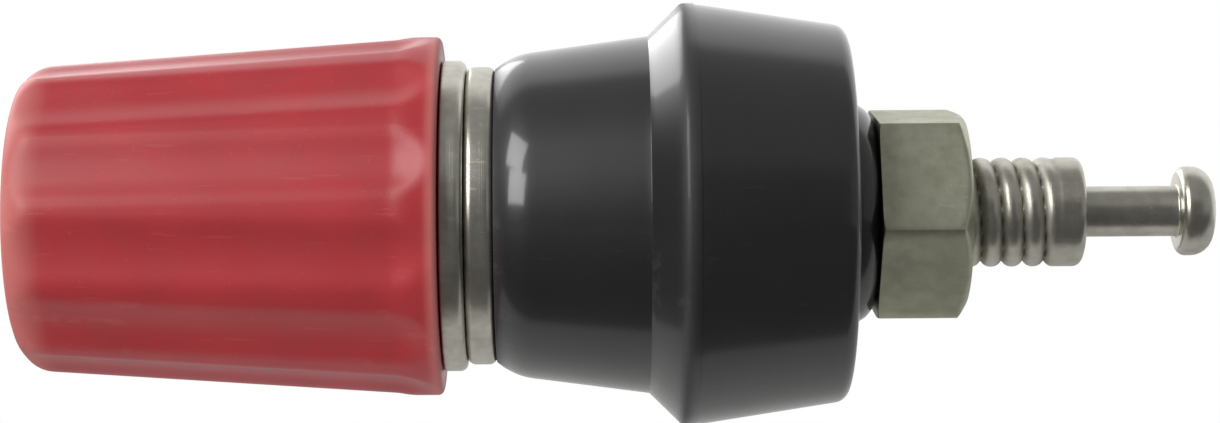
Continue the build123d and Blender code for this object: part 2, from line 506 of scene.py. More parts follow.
@cache
def flute_tree() -> NodeTree:
    """Concave flutes: a ball-ended cutter runs parallel to a tapered land, once for each flute.

    Returns:
        The tree.
    """
    numbers = ("Flutes", "First Angle", "Slope")
    lengths = ("Cutter Radius", "Axis Radius", "Depth", "End Station", "Softness")
    tree = CutTree.begin("concave_flutes", *numbers, *lengths)
    cutter = tree.taken("Cutter Radius")
    beside = tree.from_nearest(tree.taken("Flutes"), tree.taken("First Angle"))
    past = tree.math("SUBTRACT", tree.station, tree.taken("End Station"))
    axis = tree.math("MULTIPLY_ADD", past, tree.taken("Slope"), tree.taken("Axis Radius"))
    beyond = tree.math("MAXIMUM", past, 0.0)
    across = tree.math("MULTIPLY", axis, tree.math("SINE", beside))
    left = tree.math("MULTIPLY", cutter, cutter)
    for offset in (beyond, across):
        left = tree.math("SUBTRACT", left, tree.math("MULTIPLY", offset, offset))
    ahead = tree.math("MULTIPLY", axis, tree.math("COSINE", beside))
    wall = tree.math("SUBTRACT", ahead, tree.math("SQRT", tree.math("MAXIMUM", left, 0.0)))
    radius = tree.math("SMOOTH_MIN", tree.radius, wall, tree.taken("Softness"))
    return tree.finish(radius, tree.taken("Depth"))


@cache
def thread_tree() -> NodeTree:
    """A right-handed screw thread with rounded crests, run out at both ends.

    Returns:
        The tree.
    """
    lengths = ("Crest Radius", "Depth", "Pitch", "Groove Station", "Start", "Stop", "Run Out")
    tree = CutTree.begin("screw_thread", *lengths)
    depth = tree.taken("Depth")
    along = tree.math("SUBTRACT", tree.station, tree.taken("Groove Station"))
    pitches = tree.math("DIVIDE", along, tree.taken("Pitch"))
    turns = tree.math("SUBTRACT", pitches, tree.math("DIVIDE", tree.angle, FULL_TURN))
    phase = tree.math("FRACT", tree.math("ADD", turns, 0.5))
    beside = tree.math("ABSOLUTE", tree.math("SUBTRACT", phase, 0.5))
    from_crest = tree.math("MULTIPLY_ADD", beside, -2.0, 1.0)
    squared = tree.math("MULTIPLY", from_crest, from_crest)
    crest_round = tree.math("SQRT", tree.math("MULTIPLY_ADD", squared, -CREST_FULLNESS, 1.0))
    share = tree.math("SUBTRACT", 1.0, crest_round)
    on_crest = tree.math("COMPARE", tree.radius, tree.taken("Crest Radius"), CREST_MARGIN)
    share = tree.math("MULTIPLY", share, on_crest)
    after_start = tree.math("SUBTRACT", tree.station, tree.taken("Start"))
    before_stop = tree.math("SUBTRACT", tree.taken("Stop"), tree.station)
    for inside in (after_start, before_stop):
        share = tree.math("MULTIPLY", share, tree.ramp(inside, 0.0, tree.taken("Run Out"), soft=True))
    return tree.finish(tree.math("SUBTRACT", tree.radius, tree.math("MULTIPLY", share, depth)), depth)


@cache
def flats_tree() -> NodeTree:
    """Flats milled round a turned part: six make a hexagon, one makes a key.

    Returns:
        The tree.
    """
    lengths = ("Distance", "Depth", "Start", "Stop", "Reach", "Softness")
    tree = CutTree.begin("milled_flats", "Flats", "First Angle", *lengths)
    beside = tree.from_nearest(tree.taken("Flats"), tree.taken("First Angle"))
    lean = tree.math("MAXIMUM", tree.math("COSINE", beside), LEAST_COSINE)
    plane = tree.math("DIVIDE", tree.taken("Distance"), lean)
    limits = (
        ("LESS_THAN", tree.station, "Start"),
        ("GREATER_THAN", tree.station, "Stop"),
        ("GREATER_THAN", tree.radius, "Reach"),
    )
    for test, value, limit in limits:
        plane = tree.math("ADD", plane, tree.math(test, value, tree.taken(limit)))
    radius = tree.math("SMOOTH_MIN", tree.radius, plane, tree.taken("Softness"))
    return tree.finish(radius, tree.taken("Depth"))


@cache
def cross_hole_tree() -> NodeTree:
    """A hole drilled straight across a round bar, with both its mouths countersunk.

    Returns:
        The tree.
    """
    tree = CutTree.begin("cross_hole", "Station", "Hole Radius", "Bar Radius", "Countersink")
    hole, bar, sink = tree.taken("Hole Radius"), tree.taken("Bar Radius"), tree.taken("Countersink")
    shift = tree.node("ShaderNodeCombineXYZ", {0: tree.taken("Station")}).outputs[0]
    length = tree.math("MULTIPLY", bar, DRILL_LENGTH_IN_BAR_RADII)
    drill = tree.node("GeometryNodeMeshCylinder", {"Vertices": DRILL_SIDES, "Radius": hole, "Depth": length})
    placed = {"Geometry": drill.outputs["Mesh"], "Translation": shift}
    cutters = [tree.node("GeometryNodeTransform", placed).outputs[0]]
    height = tree.math("MULTIPLY", sink, 2.0)
    flare = {"Radius Top": tree.math("ADD", hole, height), "Radius Bottom": hole, "Depth": height}
    cone = tree.node("GeometryNodeMeshCone", {"Vertices": DRILL_SIDES, **flare}).outputs["Mesh"]
    rise = tree.node("ShaderNodeCombineXYZ", {2: tree.math("SUBTRACT", bar, sink)}).outputs[0]
    lifted = tree.node("GeometryNodeTransform", {"Geometry": cone, "Translation": rise}).outputs[0]
    for half_turn in (0.0, math.pi):
        turned = {"Geometry": lifted, "Translation": shift, "Rotation": Euler((half_turn, 0.0, 0.0))}
        cutters.append(tree.node("GeometryNodeTransform", turned).outputs[0])
    bar_in = {"Mesh 1": tree.taken("Blank")}
    drilled = tree.node("GeometryNodeMeshBoolean", bar_in, operation="DIFFERENCE", solver="MANIFOLD")
    for cutter in cutters:
        tree.feed(drilled.inputs["Mesh 2"], cutter)
    return tree.close(drilled.outputs["Mesh"])


def cut(piece: Object, tree: NodeTree, finish: Material, **sizes: float) -> None:
    """Runs a tree on a piece as a modifier.

    Args:
        piece: What is cut.
        tree: The tree that cuts it.
        finish: The piece's finish.
        sizes: The tree's inputs by name, with underscores, and lengths in millimetres.
    """
    fed: dict[str, float | Material] = {"Finish": finish}
    for name, size in sizes.items():
        label = name.replace("_", " ").title()
        fed[label] = float(size) if label in UNITLESS else size * MM
    modifier = piece.modifiers.new(tree.name, "NODES")
    modifier.node_group = tree
    for item in tree.interface.items_tree:
        if item.in_out == "INPUT" and item.name in fed:
            modifier[item.identifier] = fed[item.name]


def mill(
    piece: Object,
    finish: Material,
    flats: int,
    distance: float,
    reach: float,
    ends: tuple[float, float],
    first_angle: float = 0.0,
    softness: float = 0.02,
) -> None:
    """Mills flats round a turned piece.

    Args:
        piece: The piece's blank.
        finish: Its finish.
        flats: How many flats there are, evenly spaced.
        distance: How far they are from the axis.
        reach: The largest radius that they cut.
        ends: The stations that they lie between.
        first_angle: The direction that the first one faces.
        softness: How softly they meet the round.
    """
    cut(
        piece,
        flats_tree(),
        finish,
        flats=flats,
        first_angle=first_angle,
        distance=distance,
        depth=reach,
        start=ends[0] - CUT_MARGIN,
        stop=ends[1] + CUT_MARGIN,
        reach=reach + CUT_MARGIN,
        softness=softness,
    )


def harden(piece: Object) -> None:
    """Turns what a piece's modifiers made into its own mesh, smooth but for its true edges.

    Args:
        piece: The piece, whose modifiers come off.
    """
    depsgraph = bpy.context.evaluated_depsgraph_get()
    live = piece.evaluated_get(depsgraph)
    made = bpy.data.meshes.new_from_object(live, preserve_all_data_layers=True, depsgraph=depsgraph)
    piece.modifiers.clear()
    blank, piece.data = piece.data, made
    bpy.data.meshes.remove(blank)
    made.name = piece.name
    made.shade_smooth()
    made.set_sharp_from_angle(angle=SMOOTH_BELOW)


@cache
def part_space() -> NodeTree:
    """A shading group for the place on a part.

    Returns:
        The group, which gives the place in millimetres and its station along the axis.
    """
    graph = Graph.group(TreeKind.SHADE, "part_space", {}, {"Place": Kind.PLACE, "Station": Kind.NUMBER})
    metres = graph.node("ShaderNodeTexCoord").outputs["Object"]
    scaling = {0: metres, "Scale": MM_PER_METRE}
    place = graph.node("ShaderNodeVectorMath", scaling, operation="SCALE").outputs[0]
    graph.give("Place", place)
    graph.give("Station", graph.node("ShaderNodeSeparateXYZ", {0: place}).outputs[0])
    return graph.tree


@cache
def clouding() -> NodeTree:
    """A shading group for soft uneven patches.

    Returns:
        The group, which gives a mask from 0 to 1.
    """
    graph = Graph.effect("clouding", "Mask", "Size", "Detail", "Contrast")
    middle, widest = 0.5, 0.25
    grit = {"Scale": graph.over_size(), "Detail": graph.taken("Detail"), "Roughness": 0.55}
    noise = graph.node("ShaderNodeTexNoise", {"Vector": graph.taken("Place"), **grit}).outputs["Fac"]
    half = graph.math("DIVIDE", widest, graph.taken("Contrast"))
    low, high = (graph.math(operation, middle, half) for operation in ("SUBTRACT", "ADD"))
    graph.give("Mask", graph.ramp(noise, low, high, soft=True))
    return graph.tree


@cache
def grain() -> NodeTree:
    """A shading group for the fine skin of a mould or a plated surface.

    Returns:
        The group, which gives a height.
    """
    graph = Graph.effect("grain", "Height", "Size")
    pit_scale, pit_floor, pit_edge, pit_depth = 0.4, 0.05, 0.35, 0.5
    place, scale = graph.taken("Place"), graph.over_size()
    skin = {"Vector": place, "Scale": scale, "Detail": 2.0, "Roughness": 0.6}
    fine = graph.node("ShaderNodeTexNoise", skin).outputs["Fac"]
    wide = {"Vector": place, "Scale": graph.math("MULTIPLY", scale, pit_scale)}
    pits = graph.node("ShaderNodeTexVoronoi", wide, feature="F1").outputs["Distance"]
    pitted = graph.math("MULTIPLY_ADD", graph.ramp(pits, pit_floor, pit_edge), pit_depth, fine)
    graph.give("Height", pitted)
    return graph.tree


@cache
def hairlines() -> NodeTree:
    """A shading group for fine handling scratches, in two directions.

    Returns:
        The group, which gives a mask.
    """
    graph = Graph.effect("hairlines", "Mask", "Size", "Cover")
    rarest, line_edge, tilt = 0.74, 0.03, 0.35
    leans_and_stretches = ((0.5, (0.16, 3.0, 3.0)), (-1.1, (3.0, 0.22, 3.0)))
    threshold = graph.math("SUBTRACT", rarest, graph.taken("Cover"))
    layers: list[NodeSocket] = []
    for lean, stretch in leans_and_stretches:
        turning = {"Vector": graph.taken("Place"), "Rotation": (lean, tilt * lean, lean), "Scale": stretch}
        turned = graph.node("ShaderNodeMapping", turning).outputs[0]
        thin = {"Vector": turned, "Scale": graph.over_size(), "Detail": 1.0, "Distortion": 0.2}
        lines = graph.node("ShaderNodeTexNoise", thin).outputs["Fac"]
        layers.append(graph.ramp(lines, threshold, graph.math("ADD", threshold, line_edge)))
    graph.give("Mask", graph.math("MAXIMUM", *layers))
    return graph.tree


@cache
def lathe_lines() -> NodeTree:
    """A shading group for the fine rings that a turning tool leaves round the axis.

    Returns:
        The group, which gives a height.
    """
    graph = Graph.effect("lathe_lines", "Height", "Station", "Pitch")
    waver_scale, waver_reach = 0.35, 0.03
    slow = {"Vector": graph.taken("Place"), "Scale": waver_scale, "Detail": 1.0}
    waver = graph.node("ShaderNodeTexNoise", slow).outputs["Fac"]
    ring = graph.math("MULTIPLY_ADD", waver, waver_reach, graph.taken("Station"))
    turns = graph.math("DIVIDE", ring, graph.taken("Pitch"))
    rings = {"W": turns, "Scale": 1.0, "Detail": 3.0, "Roughness": 0.7}
    graph.give("Height", graph.node("ShaderNodeTexNoise", rings, noise_dimensions="1D").outputs["Fac"])
    return graph.tree


@cache
def edge_wear() -> NodeTree:
    """A shading group for the lighter, rubbed look of outer edges.

    Returns:
        The group, which gives a mask.
    """
    graph = Graph.effect("edge_wear", "Mask", "Size", "Amount")
    nearly_flat, sharp = 0.505, 0.56
    convex = graph.ramp(graph.node("ShaderNodeNewGeometry").outputs["Pointiness"], nearly_flat, sharp)
    patches = {"Place": graph.taken("Place"), "Size": graph.taken("Size"), "Detail": 4.0, "Contrast": 1.6}
    broken = graph.math("MULTIPLY", convex, graph.place(clouding(), patches).outputs["Mask"])
    graph.give("Mask", graph.math("MULTIPLY", broken, graph.taken("Amount")))
    return graph.tree


@cache
def dust() -> NodeTree:
    """A shading group for the pale specks and film that settle in hollows.

    Returns:
        The group, which gives a mask.
    """
    graph = Graph.effect("dust", "Mask", "Hollow", "Size", "Amount")
    speck_core, speck_edge, speck_strength, open_film = 0.1, 0.16, 0.6, 0.3
    spread = {"Vector": graph.taken("Place"), "Scale": graph.over_size()}
    specks = graph.node("ShaderNodeTexVoronoi", spread, feature="F1").outputs["Distance"]
    dots = graph.math("MULTIPLY", graph.ramp(specks, speck_core, speck_edge, 1.0, 0.0), speck_strength)
    patches = {"Place": graph.taken("Place"), "Size": 1.3, "Detail": 5.0, "Contrast": 0.9}
    settled = graph.math("MULTIPLY_ADD", graph.taken("Hollow"), 1.0 - open_film, open_film)
    film = graph.math("MULTIPLY", graph.place(clouding(), patches).outputs["Mask"], settled)
    graph.give("Mask", graph.math("MULTIPLY", graph.math("MAXIMUM", dots, film), graph.taken("Amount")))
    return graph.tree


class Coat:
    """A material in the making, with the values that every finish starts from."""

    def __init__(self, name: str) -> None:
        """Starts a material with its shader, its part space, the depth of its cuts and its rubbed edges,
        which carry wear and a painted highlight.
        """
        self.material = bpy.data.materials.new(name)
        self.material.use_nodes = True
        self.material.node_tree.nodes.clear()
        self.graph = Graph(self.material.node_tree)
        self.shader = self.graph.node("ShaderNodeBsdfPrincipled")
        self.graph.node("ShaderNodeOutputMaterial", {"Surface": self.shader.outputs[0]})
        self.place, self.station = self.graph.place(part_space()).outputs
        self.cut, self.rub_and_sheen = (
            self.graph.node("ShaderNodeAttribute", attribute_name=name).outputs["Fac"]
            for name in (CUT_ATTRIBUTE, RUB_AND_SHEEN_ATTRIBUTE)
        )

    def effect(self, tree: NodeTree, **feeds: Feed) -> NodeSocket:
        """Places a shared effect, fed by name, and gives its result."""
        named = {key.title(): value for key, value in feeds.items()}
        return self.graph.place(tree, {"Place": self.place, **named}).outputs[0]

    def bump(self, height: Feed, depth: float, under: Feed | None = None) -> NodeSocket:
        """Adds a Bump node.

        Args:
            height: The height, from 0 to 1.
            depth: What a height of 1 stands for, in millimetres.
            under: A normal that it builds on.

        Returns:
            The normal.
        """
        feeds: dict[str | int, Feed] = {"Height": height, "Distance": depth * MM, "Strength": 1.0}
        if under is not None:
            feeds["Normal"] = under
        return self.graph.node("ShaderNodeBump", feeds).outputs[0]

    def set(self, **feeds: Feed) -> Material:
        """Feeds the shader.

        Args:
            feeds: What goes into its sockets, by their names with underscores.

        Returns:
            The material.
        """
        for name, value in feeds.items():
            self.graph.feed(self.shader.inputs[name.replace("_", " ").title()], value)
        return self.material


@dataclass(frozen=True)
class MouldedPlastic:
    """A moulded plastic: its colour, how glossy it is, how it has been handled, and the highlight painted on
    its rubbed corners.
    """

    name: str
    base: Colour
    deep: Colour
    worn_and_sheen: Colour
    dusty: Colour
    roughness: float
    haze: float
    wear: float
    rub_and_sheen: float
    dust: float
    grain_depth: float
    lacquer: float
    lacquer_roughness: float
    grain_size: float = 0.07
    patch_size: float = 2.6
    smudge_size: float = 4.2
    smudge_bite: float = 0.2
    wear_size: float = 0.35
    rub_dulling: float = 0.2
    scratch_size: float = 0.5
    scratch_cover: float = 0.03
    scratch_colour: float = 0.06
    dust_size: float = 0.22
    dust_dulling: float = 0.3

    @cache
    def material(self) -> Material:
        """Builds the material, once.

        Returns:
            The material.
        """
        coat = Coat(self.name)
        graph = coat.graph
        patches = coat.effect(clouding(), size=self.patch_size, detail=3.0, contrast=0.8)
        smudges = coat.effect(clouding(), size=self.smudge_size, detail=5.0, contrast=1.2)
        worn_and_sheen = coat.effect(edge_wear(), size=self.wear_size, amount=self.wear)
        scratches = coat.effect(hairlines(), size=self.scratch_size, cover=self.scratch_cover)
        settled = coat.effect(dust(), hollow=coat.cut, size=self.dust_size, amount=self.dust)
        broken = graph.math("MULTIPLY_ADD", smudges, self.smudge_bite, 1.0 - self.smudge_bite)
        handled_and_sheen = graph.math("MULTIPLY", coat.rub_and_sheen, broken)
        colour = graph.blend(patches, self.base, self.deep)
        # The worn colour on rubbed corners and edges is partly handling wear and partly a painted highlight.
        for share, over in (
            (graph.math("MULTIPLY_ADD", handled_and_sheen, self.rub_and_sheen, worn_and_sheen), self.worn_and_sheen),
            (graph.math("MULTIPLY", scratches, self.scratch_colour), self.worn_and_sheen),
            (settled, self.dusty),
        ):
            colour = graph.blend(share, colour, over)
        rough: Feed = self.roughness
        dulled = ((smudges, self.haze), (settled, self.dust_dulling), (handled_and_sheen, self.rub_dulling))
        for mask, dulling in dulled:
            rough = graph.math("MULTIPLY_ADD", mask, dulling, rough)
        skin = coat.bump(coat.effect(grain(), size=self.grain_size), self.grain_depth)
        return coat.set(
            base_color=colour,
            roughness=rough,
            normal=coat.bump(graph.math("SUBTRACT", 1.0, scratches), self.grain_depth, skin),
            coat_weight=graph.math("MULTIPLY_ADD", handled_and_sheen, -self.lacquer, self.lacquer),
            coat_roughness=self.lacquer_roughness,
        )


@dataclass(frozen=True)
class NickelPlate:
    """A nickel plating: its tint, its dirt and the shade painted in its grooves, and whether it was turned
    or tumbled.
    """

    name: str
    tint: Colour
    dull: Colour
    grime_and_shade: Colour
    roughness: float
    haze: float
    line_pitch: float
    line_depth: float
    dent_size: float
    dent_depth: float
    patch_size: float = 1.4
    tarnish_size: float = 0.5
    tarnish_colour: float = 0.2
    scratch_size: float = 0.3
    scratch_cover: float = 0.05
    scratch_dulling: float = 0.12
    groove_dirt_and_shade: float = 0.35
    groove_tarnish_and_shade: float = 0.25
    groove_dulling: float = 0.3
    dull_from_cut: float = 0.25

    @cache
    def material(self) -> Material:
        """Builds the material, once.

        Returns:
            The material.
        """
        coat = Coat(self.name)
        graph = coat.graph
        patches = coat.effect(clouding(), size=self.patch_size, detail=4.0, contrast=0.9)
        tarnish = coat.effect(clouding(), size=self.tarnish_size, detail=6.0, contrast=1.1)
        scratches = coat.effect(hairlines(), size=self.scratch_size, cover=self.scratch_cover)
        lines = coat.effect(lathe_lines(), station=coat.station, pitch=self.line_pitch)
        dents = coat.effect(grain(), size=self.dent_size)
        soiled_and_shaded = graph.math("MULTIPLY_ADD", tarnish, self.groove_tarnish_and_shade, self.groove_dirt_and_shade)
        colour = graph.blend(patches, self.tint, self.dull)
        stained = graph.math("MULTIPLY", tarnish, self.tarnish_colour)
        # Stains, then darker in the cut grooves by their depth: partly grime, partly shade painted in the
        # thread roots.
        for share in (stained, graph.math("MULTIPLY", coat.cut, soiled_and_shaded)):
            colour = graph.blend(share, colour, self.grime_and_shade)
        in_grooves = graph.ramp(coat.cut, 0.0, self.dull_from_cut, 0.0, self.groove_dulling)
        rough = graph.math("MULTIPLY_ADD", patches, self.haze, self.roughness)
        rough = graph.math("ADD", rough, in_grooves)
        rough = graph.math("MULTIPLY_ADD", scratches, self.scratch_dulling, rough)
        turned = coat.bump(lines, self.line_depth)
        dented = coat.bump(dents, self.dent_depth, turned)
        return coat.set(base_color=colour, roughness=rough, metallic=1.0, normal=dented)


RED_CAP_PLASTIC = MouldedPlastic(
    name="red_cap_plastic",
    base=paint(190, 44, 52),
    deep=paint(176, 36, 45),
    worn_and_sheen=paint(228, 150, 142),
    dusty=paint(214, 180, 178),
    roughness=0.42,
    haze=0.06,
    wear=0.08,
    rub_and_sheen=0.75,
    dust=0.03,
    grain_depth=0.0015,
    lacquer=0.3,
    lacquer_roughness=0.28,
)
BLACK_POST_PLASTIC = MouldedPlastic(
    name="black_post_plastic",
    base=paint(25, 25, 26),
    deep=paint(22, 22, 23),
    worn_and_sheen=paint(84, 84, 88),
    dusty=paint(130, 128, 124),
    roughness=0.36,
    haze=0.08,
    wear=0.2,
    rub_and_sheen=0.45,
    dust=0.03,
    grain_depth=0.001,
    lacquer=1.0,
    lacquer_roughness=0.12,
)
STEM_PLATE = NickelPlate(
    name="turned_nickel_plate",
    tint=paint(218, 216, 205),
    dull=paint(198, 194, 182),
    grime_and_shade=paint(74, 70, 60),
    roughness=0.27,
    haze=0.05,
    line_pitch=0.06,
    line_depth=0.004,
    dent_size=0.12,
    dent_depth=0.001,
)
NUT_PLATE = NickelPlate(
    name="tumbled_nickel_plate",
    tint=paint(202, 203, 181),
    dull=paint(190, 190, 169),
    grime_and_shade=paint(96, 92, 78),
    roughness=0.36,
    haze=0.05,
    line_pitch=0.11,
    line_depth=0.001,
    dent_size=0.16,
    dent_depth=0.003,
)


@dataclass(frozen=True)
class Span:
    """Where a CAD node starts and ends along the axis, in millimetres."""

    front: float
    back: float

    @classmethod
    def of(cls, node: str) -> "Span":
        """Reads a node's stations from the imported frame.

        Args:
            node: The node's name.

        Returns:
            Its span.
        """
        low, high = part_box(node)
        return cls(low.x / MM, high.x / MM)


def settle(piece: Object, body: Body, slot: Slot, *nodes: str) -> Object:
    """Hardens a piece, gives it its body and hides the CAD nodes that it stands for.

    Args:
        piece: The piece, with its modifiers.
        body: What it moves with.
        slot: The record's material slot; not used.
        nodes: The CAD nodes that it replaces.

    Returns:
        The piece.
    """
    harden(piece)
    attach(piece, body.value)
    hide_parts(*nodes)
    log.info("%s: %d faces, rides on %s", piece.name, len(piece.data.polygons), body.value)
    return piece


@dataclass
class RedCap:
    """The fluted screw cap and the threaded insert inside it."""

    span: Span = Span.of("cap")
    insert: Span = Span.of("cap_insert")
    finish: MouldedPlastic = RED_CAP_PLASTIC
    front_radius: float = 5.37
    front_round: float = 1.15
    # The front corner's lighter rubbed colour is handling wear and a painted highlight.
    front_rub_and_sheen: float = 1.45
    land_radius: float = 6.29
    flare_length: float = 0.5
    flare_round: float = 3.0
    rim_radius: float = 6.375
    rim_width: float = 1.1
    rim_round: float = 0.2
    # The rim's back corner is lightened the same way: handling wear and a painted highlight.
    rim_rub_and_sheen: float = 0.48
    mouth_radius: float = 2.3
    mouth_round: float = 0.5
    front_wall: float = 1.6
    cavity_radius: float = 3.9
    insert_radius: float = 4.7
    flutes: int = 12
    first_flute: float = math.radians(12.5)
    cutter_radius: float = 2.0
    flute_depth: float = 0.28
    flute_stop: float = 0.5
    flute_softness: float = 0.6
    segments: int = 432
    land_step: float = 0.16
    plain_step: float = 0.5

    def profile(self) -> Profile:
        """The half-section, from the mouth over the land and the rim to the hollow inside.

        Returns:
            The half-section.
        """
        front, base = self.span.front, self.span.back
        rim, cavity = base - self.rim_width, front + self.front_wall
        return Profile(
            (
                Corner(front, self.mouth_radius, self.mouth_round, self.plain_step),
                Corner(front, self.front_radius, self.front_round, self.land_step, self.front_rub_and_sheen),
                Corner(rim - self.flare_length, self.land_radius, self.flare_round, self.land_step),
                Corner(rim, self.rim_radius, self.flare_round, self.land_step),
                Corner(base, self.rim_radius, self.rim_round, self.plain_step, self.rim_rub_and_sheen),
                Corner(base, self.insert_radius),
                Corner(self.insert.front, self.insert_radius),
                Corner(self.insert.front, self.cavity_radius),
                Corner(cavity, self.cavity_radius),
                Corner(cavity, self.mouth_radius),
            )
        )

    def build(self) -> Object:
        """Turns the cap and cuts its flutes, which run out in a ball end before the plain rim.

        Returns:
            The cap.
        """
        front = self.span.front
        rim = self.span.back - self.rim_width
        slope = (self.land_radius - self.front_radius) / (rim - self.flare_length - front)
        floor = self.cutter_radius - self.flute_depth
        rim_floor = floor - (self.rim_radius - self.land_radius)
        end = self.span.back - self.flute_stop - math.sqrt(self.cutter_radius**2 - rim_floor**2)
        land_at_end = self.front_radius + (end - front) * slope
        piece = lathe("fluted_cap", self.profile(), even_angles(self.segments))
        cut(
            piece,
            flute_tree(),
            self.finish.material(),
            flutes=self.flutes,
            first_angle=self.first_flute,
            slope=slope,
            cutter_radius=self.cutter_radius,
            axis_radius=land_at_end + floor / math.cos(math.atan(slope)),
            depth=self.flute_depth,
            end_station=end,
            softness=self.flute_softness,
        )
        return settle(piece, Body.CAP, Slot.RED_PLASTIC, "cap")

    def dress(self) -> None:
        """Gives the CAD insert, deep inside the cap, the same plating as the stem."""
        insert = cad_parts["cap_insert"]
        insert.data.materials.clear()
        insert.data.materials.append(STEM_PLATE.material())
        log.info("cap_insert: kept from the frame, plated")


@dataclass
class ClampRing:
    """The loose ring under the cap that presses the wire on the collar."""

    span: Span = Span.of("clamp_ring")
    finish: NickelPlate = STEM_PLATE
    radius: float = 5.53
    front_round: float = 0.06
    back_round: float = 0.28
    neck_radius: float = 4.25
    lip_radius: float = 4.5
    lip_depth: float = 0.34
    bore_break: float = 0.04
    segments: int = 192
    edge_step: float = 0.1
    plain_step: float = 0.4

    def profile(self) -> Profile:
        """The half-section, with the recess for the insert's rolled lip.

        Returns:
            The half-section.
        """
        front, back = self.span.front, self.span.back
        recess = back - self.lip_depth
        return Profile(
            (
                Corner(front, self.neck_radius, self.bore_break, self.plain_step),
                Corner(front, self.radius, self.front_round, self.edge_step),
                Corner(back, self.radius, self.back_round, self.plain_step),
                Corner(back, self.lip_radius, self.bore_break),
                Corner(recess, self.lip_radius),
                Corner(recess, self.neck_radius),
            )
        )

    def build(self) -> Object:
        """Turns the ring.

        Returns:
            The ring.
        """
        piece = lathe("wire_clamp_ring", self.profile(), even_angles(self.segments))
        piece.data.materials.append(self.finish.material())
        return settle(piece, Body.RING, Slot.NICKEL, "clamp_ring")


@dataclass
class Stem:
    """The turned stem: plug socket, threaded barrel with a wire hole, collar, stud and headed solder pin."""

    span: Span = Span.of("stem")
    ring: Span = Span.of("clamp_ring")
    insulator: Span = Span.of("front_insulator")
    finish: NickelPlate = STEM_PLATE
    lip_radius: float = 3.72
    lip_thickness: float = 0.6
    lip_back_round: float = 0.05
    mouth_chamfer: float = 0.3
    socket_radius: float = 2.025
    socket_depth: float = 17.05
    drill_point: float = 1.217
    barrel_radius: float = 3.5
    wire_hole_radius: float = 1.1
    wire_hole_floor: float = 0.15
    countersink: float = 0.18
    collar_radius: float = 5.3
    collar_round: float = 0.28
    shank_flats: float = 6.2
    shank_length: float = 4.45
    shank_softness: float = 0.05
    stud_radius: float = 1.95
    stud_end: float = 13.8
    stud_chamfer: float = 0.3
    pin_radius: float = 0.9
    pin_end: float = 17.25
    pin_foot_round: float = 0.1
    pin_neck_round: float = 0.08
    head_radius: float = 1.59
    head_round: float = 0.75
    head_back_round: float = 0.3
    pitch: float = 0.75
    thread_depth: float = 0.32
    run_out_turns: float = 0.5
    stud_groove: float = 12.66
    stud_plain_end: float = 0.85
    barrel_plain_front: float = 0.2
    barrel_plain_end: float = 0.1
    segments: int = 144
    barrel_step: float = 0.07
    stud_step: float = 0.05
    collar_step: float = 0.1
    pin_step: float = 0.3

    def profile(self) -> Profile:
        """The half-section, from the bottom of the socket round the outside to the pin's head.

        Returns:
            The half-section.
        """
        front, head = self.span.front, self.span.back
        collar, seat = self.ring.back, self.insulator.front
        socket = front + self.socket_depth
        lip = front + self.lip_thickness
        shank = seat + self.shank_length
        chamfer = self.mouth_chamfer
        return Profile(
            (
                Corner(socket + self.drill_point, 0.0),
                Corner(socket, self.socket_radius),
                Corner(front + chamfer, self.socket_radius),
                Corner(front, self.socket_radius + chamfer),
                Corner(front, self.lip_radius, chamfer),
                Corner(lip, self.lip_radius, self.lip_back_round),
                Corner(lip, self.barrel_radius, step=self.barrel_step),
                Corner(collar, self.barrel_radius),
                Corner(collar, self.collar_radius, self.collar_round, self.collar_step),
                Corner(seat, self.collar_radius, self.collar_round),
                Corner(seat, self.barrel_radius),
                Corner(shank, self.barrel_radius),
                Corner(shank, self.stud_radius, step=self.stud_step),
                Corner(self.stud_end, self.stud_radius, self.stud_chamfer),
                Corner(self.stud_end, self.pin_radius, self.pin_foot_round, self.pin_step),
                Corner(self.pin_end, self.pin_radius, self.pin_neck_round),
                Corner(self.pin_end, self.head_radius, self.head_back_round),
                Corner(head, self.head_radius, self.head_round, self.pin_step),
                Corner(head, 0.0),
            ),
            closed=False,
        )

    def thread(self, piece: Object, radius: float, groove: float, start: float, stop: float) -> None:
        """Cuts one of the stem's threads.

        Args:
            piece: The stem's blank.
            radius: The crest radius.
            groove: The station of a groove on the +Y side.
            start: Where the thread starts.
            stop: Where it ends.
        """
        cut(
            piece,
            thread_tree(),
            self.finish.material(),
            crest_radius=radius,
            depth=self.thread_depth,
            pitch=self.pitch,
            groove_station=groove,
            start=start,
            stop=stop,
            run_out=self.run_out_turns * self.pitch,
        )

    def build(self) -> Object:
        """Turns the stem, cuts both threads and the shank's flats, and drills the wire hole.

        Returns:
            The stem.
        """
        piece = lathe("turned_stem", self.profile(), even_angles(self.segments))
        finish, barrel = self.finish.material(), self.barrel_radius
        lip, collar = self.span.front + self.lip_thickness, self.ring.back
        seat = self.insulator.front
        shank = seat + self.shank_length
        self.thread(piece, barrel, lip, lip + self.barrel_plain_front, collar - self.barrel_plain_end)
        self.thread(piece, self.stud_radius, self.stud_groove, shank, self.stud_end - self.stud_plain_end)
        mill(piece, finish, 2, self.shank_flats / 2, barrel, (seat, shank), softness=self.shank_softness)
        cut(
            piece,
            cross_hole_tree(),
            finish,
            station=collar - self.wire_hole_floor - self.wire_hole_radius,
            hole_radius=self.wire_hole_radius,
            bar_radius=barrel,
            countersink=self.countersink,
        )
        return settle(piece, Body.POST, Slot.NICKEL, "stem")


